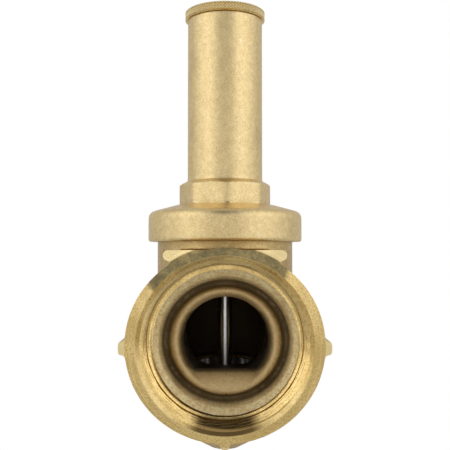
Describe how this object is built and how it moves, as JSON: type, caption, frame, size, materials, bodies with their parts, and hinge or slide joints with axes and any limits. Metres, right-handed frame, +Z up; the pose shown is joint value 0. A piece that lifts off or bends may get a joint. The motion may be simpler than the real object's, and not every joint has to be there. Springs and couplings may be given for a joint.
{
  "type": "inline pressure reducing valve",
  "caption": "Cast brass inline pressure reducing valve with female threaded ports, a screwed bonnet with spring barrel and a knurled adjusting cap.",
  "frame": {"origin": "on the stem axis, level with the face of the bottom plug; the port axis crosses the stem axis 51.8 mm above it", "axes": "+Z up along the stem towards the adjusting cap; the outlet port faces -Y and the inlet port faces +Y; +X completes a right-handed frame"},
  "size_m": [0.074, 0.14, 0.1941],
  "materials": {
    "cast_brass": "blasted casting, satin",
    "machined_brass": "turned, satin",
    "stainless": "polished",
    "spring_steel": "drawn wire",
    "rubber": "matte",
    "ptfe": "waxy",
    "fibre": "pressed fibre"
  },
  "bodies": {
    "valve": {"valve_body": "cast_brass", "seat_ring": "stainless", "bottom_plug": "cast_brass", "bottom_plug_gasket": "fibre", "stem_guide_bush": "ptfe", "bonnet": "cast_brass", "bonnet_gasket": "fibre", "cylinder_liner": "machined_brass", "liner_o_ring": "rubber", "spindle_bush": "machined_brass", "main_spring": "spring_steel"},
    "stem": {"valve_stem": "stainless", "disc_washer": "stainless", "disc_seal": "rubber", "disc_holder": "machined_brass", "disc_nut": "stainless", "piston": "machined_brass", "piston_seal": "rubber", "piston_wear_ring": "ptfe", "lower_spring_plate": "stainless", "piston_nut": "stainless"},
    "spring_rest": {"upper_spring_plate": "stainless"},
    "adjuster": {"adjusting_spindle": "stainless", "knurled_cap": "machined_brass", "cap_washer": "stainless", "cap_nut": "stainless"}
  },
  "joints": [
    {"name": "stem_lift", "type": "slide", "parent": "valve", "child": "stem", "axis": [0, 0, 1], "range_m": [0, 0.0047], "deforming": ["main_spring"]},
    {"name": "plate_travel", "type": "slide", "parent": "valve", "child": "spring_rest", "axis": [0, 0, 1], "range_m": [0, 0.005]},
    {"name": "cap_turn", "type": "hinge", "parent": "spring_rest", "child": "adjuster", "pos_m": [0, 0, 0.18855], "axis": [0, 0, 1], "range_deg": [0, 1450]}
  ],
  "couplings": [
    {"joint": "cap_turn", "follows": "plate_travel", "rad_per_m": 5026.5}
  ]
}
